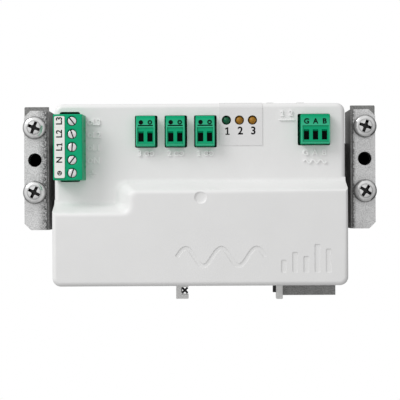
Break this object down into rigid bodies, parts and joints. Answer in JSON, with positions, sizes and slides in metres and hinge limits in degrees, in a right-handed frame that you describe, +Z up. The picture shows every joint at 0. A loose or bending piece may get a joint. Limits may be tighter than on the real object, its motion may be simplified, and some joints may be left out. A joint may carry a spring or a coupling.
{
  "type": "smart electric meter",
  "caption": "Wall-mounted smart electric meter in a white stepped housing with pull-off green screw plugs, status lamps and a bent steel mounting plate.",
  "frame": {"origin": "midway between the centre mounting holes of the two side flanges, on the flanges' rear face", "axes": "+X to the viewer's right, +Z up, the front faces -Y"},
  "size_m": [0.1422, 0.0474, 0.0797],
  "materials": {
    "white_housing": "fine-grained satin white moulding",
    "label_film": "smooth white printed film",
    "board_green": "solder-masked glass epoxy",
    "component_dark": "black moulded packages",
    "transformer_yellow": "taped winding on a bobbin",
    "terminal_green": "moulded green polyamide",
    "tinned_metal": "tinned copper alloy",
    "led_green": "tinted green lens, unlit",
    "led_amber": "tinted amber lens, unlit",
    "switch_blue": "moulded switch body",
    "switch_white": "moulded lever",
    "screw_zinc": "zinc-plated steel",
    "zinc_sheet": "zinc-coated sheet with spangle",
    "plate_steel": "darker bent sheet behind the strips",
    "latch_grey": "light grey moulding",
    "tongue_black": "black moulding",
    "spring_steel": "spring wire",
    "marker_white": "white snap-in marker strip"
  },
  "bodies": {
    "housing": {"front_cover": "white_housing", "rear_base": "white_housing", "led_label": "label_film", "circuit_board": "board_green", "board_components": "component_dark", "power_transformer": "transformer_yellow", "mains_header": "terminal_green", "ct_header_1": "terminal_green", "ct_header_2": "terminal_green", "ct_header_3": "terminal_green", "data_header": "terminal_green", "header_pins": "tinned_metal", "led_1": "led_green", "led_2": "led_amber", "led_3": "led_amber", "termination_switch": "switch_blue", "board_screws": "screw_zinc", "case_screws": "screw_zinc", "mounting_plate": "plate_steel", "clamp_strip_left": "zinc_sheet", "clamp_strip_right": "zinc_sheet", "bracket_screws": "screw_zinc", "bracket_nuts": "screw_zinc", "latch_springs_left": "spring_steel", "latch_springs_right": "spring_steel"},
    "mains_plug": {"mains_plug": "terminal_green", "marker_strip": "marker_white"},
    "ct_plug_1": {"ct_plug_1": "terminal_green", "ct_clamps_1": "tinned_metal"},
    "ct_plug_2": {"ct_plug_2": "terminal_green", "ct_clamps_2": "tinned_metal"},
    "ct_plug_3": {"ct_plug_3": "terminal_green", "ct_clamps_3": "tinned_metal"},
    "data_plug": {"data_plug": "terminal_green", "data_clamps": "tinned_metal"},
    "rail_latch_left": {"rail_latch_left": "latch_grey", "latch_tongue_left": "tongue_black"},
    "rail_latch_right": {"rail_latch_right": "latch_grey", "latch_tongue_right": "tongue_black"},
    "mains_screw_1": {"mains_screw_1": "screw_zinc"},
    "mains_screw_2": {"mains_screw_2": "screw_zinc"},
    "mains_screw_3": {"mains_screw_3": "screw_zinc"},
    "mains_screw_4": {"mains_screw_4": "screw_zinc"},
    "mains_screw_5": {"mains_screw_5": "screw_zinc"},
    "mains_clamp_1": {"mains_clamp_1": "tinned_metal"},
    "mains_clamp_2": {"mains_clamp_2": "tinned_metal"},
    "mains_clamp_3": {"mains_clamp_3": "tinned_metal"},
    "mains_clamp_4": {"mains_clamp_4": "tinned_metal"},
    "mains_clamp_5": {"mains_clamp_5": "tinned_metal"},
    "ct_screw_1": {"ct_screw_1": "screw_zinc"},
    "ct_screw_2": {"ct_screw_2": "screw_zinc"},
    "ct_screw_3": {"ct_screw_3": "screw_zinc"},
    "ct_screw_4": {"ct_screw_4": "screw_zinc"},
    "ct_screw_5": {"ct_screw_5": "screw_zinc"},
    "ct_screw_6": {"ct_screw_6": "screw_zinc"},
    "data_screw_1": {"data_screw_1": "screw_zinc"},
    "data_screw_2": {"data_screw_2": "screw_zinc"},
    "data_screw_3": {"data_screw_3": "screw_zinc"},
    "switch_lever_1": {"switch_lever_1": "switch_white"},
    "switch_lever_2": {"switch_lever_2": "switch_white"}
  },
  "joints": [
    {"name": "mains_plug_pull", "type": "slide", "parent": "housing", "child": "mains_plug", "axis": [0, -1, 0], "range_m": [0, 0.012]},
    {"name": "ct_plug_1_pull", "type": "slide", "parent": "housing", "child": "ct_plug_1", "axis": [0, -1, 0], "range_m": [0, 0.008]},
    {"name": "ct_plug_2_pull", "type": "slide", "parent": "housing", "child": "ct_plug_2", "axis": [0, -1, 0], "range_m": [0, 0.008]},
    {"name": "ct_plug_3_pull", "type": "slide", "parent": "housing", "child": "ct_plug_3", "axis": [0, -1, 0], "range_m": [0, 0.008]},
    {"name": "data_plug_pull", "type": "slide", "parent": "housing", "child": "data_plug", "axis": [0, -1, 0], "range_m": [0, 0.008]},
    {"name": "mains_screw_1_turn", "type": "hinge", "parent": "mains_plug", "child": "mains_screw_1", "pos_m": [-0.0491, -0.0254, -0.0058], "axis": [0, -1, 0], "range_deg": [0, 1080]},
    {"name": "mains_clamp_1_open", "type": "slide", "parent": "mains_plug", "child": "mains_clamp_1", "axis": [0, 1, 0], "range_m": [0, 0.0015]},
    {"name": "mains_screw_2_turn", "type": "hinge", "parent": "mains_plug", "child": "mains_screw_2", "pos_m": [-0.0491, -0.0254, -0.0008], "axis": [0, -1, 0], "range_deg": [0, 1080]},
    {"name": "mains_clamp_2_open", "type": "slide", "parent": "mains_plug", "child": "mains_clamp_2", "axis": [0, 1, 0], "range_m": [0, 0.0015]},
    {"name": "mains_screw_3_turn", "type": "hinge", "parent": "mains_plug", "child": "mains_screw_3", "pos_m": [-0.0491, -0.0254, 0.0042], "axis": [0, -1, 0], "range_deg": [0, 1080]},
    {"name": "mains_clamp_3_open", "type": "slide", "parent": "mains_plug", "child": "mains_clamp_3", "axis": [0, 1, 0], "range_m": [0, 0.0015]},
    {"name": "mains_screw_4_turn", "type": "hinge", "parent": "mains_plug", "child": "mains_screw_4", "pos_m": [-0.0491, -0.0254, 0.0092], "axis": [0, -1, 0], "range_deg": [0, 1080]},
    {"name": "mains_clamp_4_open", "type": "slide", "parent": "mains_plug", "child": "mains_clamp_4", "axis": [0, 1, 0], "range_m": [0, 0.0015]},
    {"name": "mains_screw_5_turn", "type": "hinge", "parent": "mains_plug", "child": "mains_screw_5", "pos_m": [-0.0491, -0.0254, 0.0142], "axis": [0, -1, 0], "range_deg": [0, 1080]},
    {"name": "mains_clamp_5_open", "type": "slide", "parent": "mains_plug", "child": "mains_clamp_5", "axis": [0, 1, 0], "range_m": [0, 0.0015]},
    {"name": "ct_screw_1_turn", "type": "hinge", "parent": "ct_plug_1", "child": "ct_screw_1", "pos_m": [-0.02285, -0.0189, 0.0154], "axis": [0, 0, 1], "range_deg": [0, 1080]},
    {"name": "ct_screw_2_turn", "type": "hinge", "parent": "ct_plug_1", "child": "ct_screw_2", "pos_m": [-0.01935, -0.0189, 0.0154], "axis": [0, 0, 1], "range_deg": [0, 1080]},
    {"name": "ct_screw_3_turn", "type": "hinge", "parent": "ct_plug_2", "child": "ct_screw_3", "pos_m": [-0.01125, -0.0189, 0.0154], "axis": [0, 0, 1], "range_deg": [0, 1080]},
    {"name": "ct_screw_4_turn", "type": "hinge", "parent": "ct_plug_2", "child": "ct_screw_4", "pos_m": [-0.00775, -0.0189, 0.0154], "axis": [0, 0, 1], "range_deg": [0, 1080]},
    {"name": "ct_screw_5_turn", "type": "hinge", "parent": "ct_plug_3", "child": "ct_screw_5", "pos_m": [0.00035, -0.0189, 0.0154], "axis": [0, 0, 1], "range_deg": [0, 1080]},
    {"name": "ct_screw_6_turn", "type": "hinge", "parent": "ct_plug_3", "child": "ct_screw_6", "pos_m": [0.00385, -0.0189, 0.0154], "axis": [0, 0, 1], "range_deg": [0, 1080]},
    {"name": "data_screw_1_turn", "type": "hinge", "parent": "data_plug", "child": "data_screw_1", "pos_m": [0.0416, -0.0189, 0.0154], "axis": [0, 0, 1], "range_deg": [0, 1080]},
    {"name": "data_screw_2_turn", "type": "hinge", "parent": "data_plug", "child": "data_screw_2", "pos_m": [0.0451, -0.0189, 0.0154], "axis": [0, 0, 1], "range_deg": [0, 1080]},
    {"name": "data_screw_3_turn", "type": "hinge", "parent": "data_plug", "child": "data_screw_3", "pos_m": [0.0486, -0.0189, 0.0154], "axis": [0, 0, 1], "range_deg": [0, 1080]},
    {"name": "switch_lever_1_slide", "type": "slide", "parent": "housing", "child": "switch_lever_1", "axis": [0, 1, 0], "range_m": [0, 0.0015]},
    {"name": "switch_lever_2_slide", "type": "slide", "parent": "housing", "child": "switch_lever_2", "axis": [0, 1, 0], "range_m": [0, 0.0015]},
    {"name": "rail_latch_left_pull", "type": "slide", "parent": "housing", "child": "rail_latch_left", "axis": [0, 0, -1], "range_m": [0, 0.003], "stiffness_N_per_m": 500, "springref_m": -0.001, "deforming": ["latch_springs_left"]},
    {"name": "rail_latch_right_pull", "type": "slide", "parent": "housing", "child": "rail_latch_right", "axis": [0, 0, -1], "range_m": [0, 0.003], "stiffness_N_per_m": 500, "springref_m": -0.001, "deforming": ["latch_springs_right"]}
  ],
  "couplings": [
    {"joint": "mains_screw_1_turn", "follows": "mains_clamp_1_open", "rad_per_m": 12566},
    {"joint": "mains_screw_2_turn", "follows": "mains_clamp_2_open", "rad_per_m": 12566},
    {"joint": "mains_screw_3_turn", "follows": "mains_clamp_3_open", "rad_per_m": 12566},
    {"joint": "mains_screw_4_turn", "follows": "mains_clamp_4_open", "rad_per_m": 12566},
    {"joint": "mains_screw_5_turn", "follows": "mains_clamp_5_open", "rad_per_m": 12566}
  ]
}
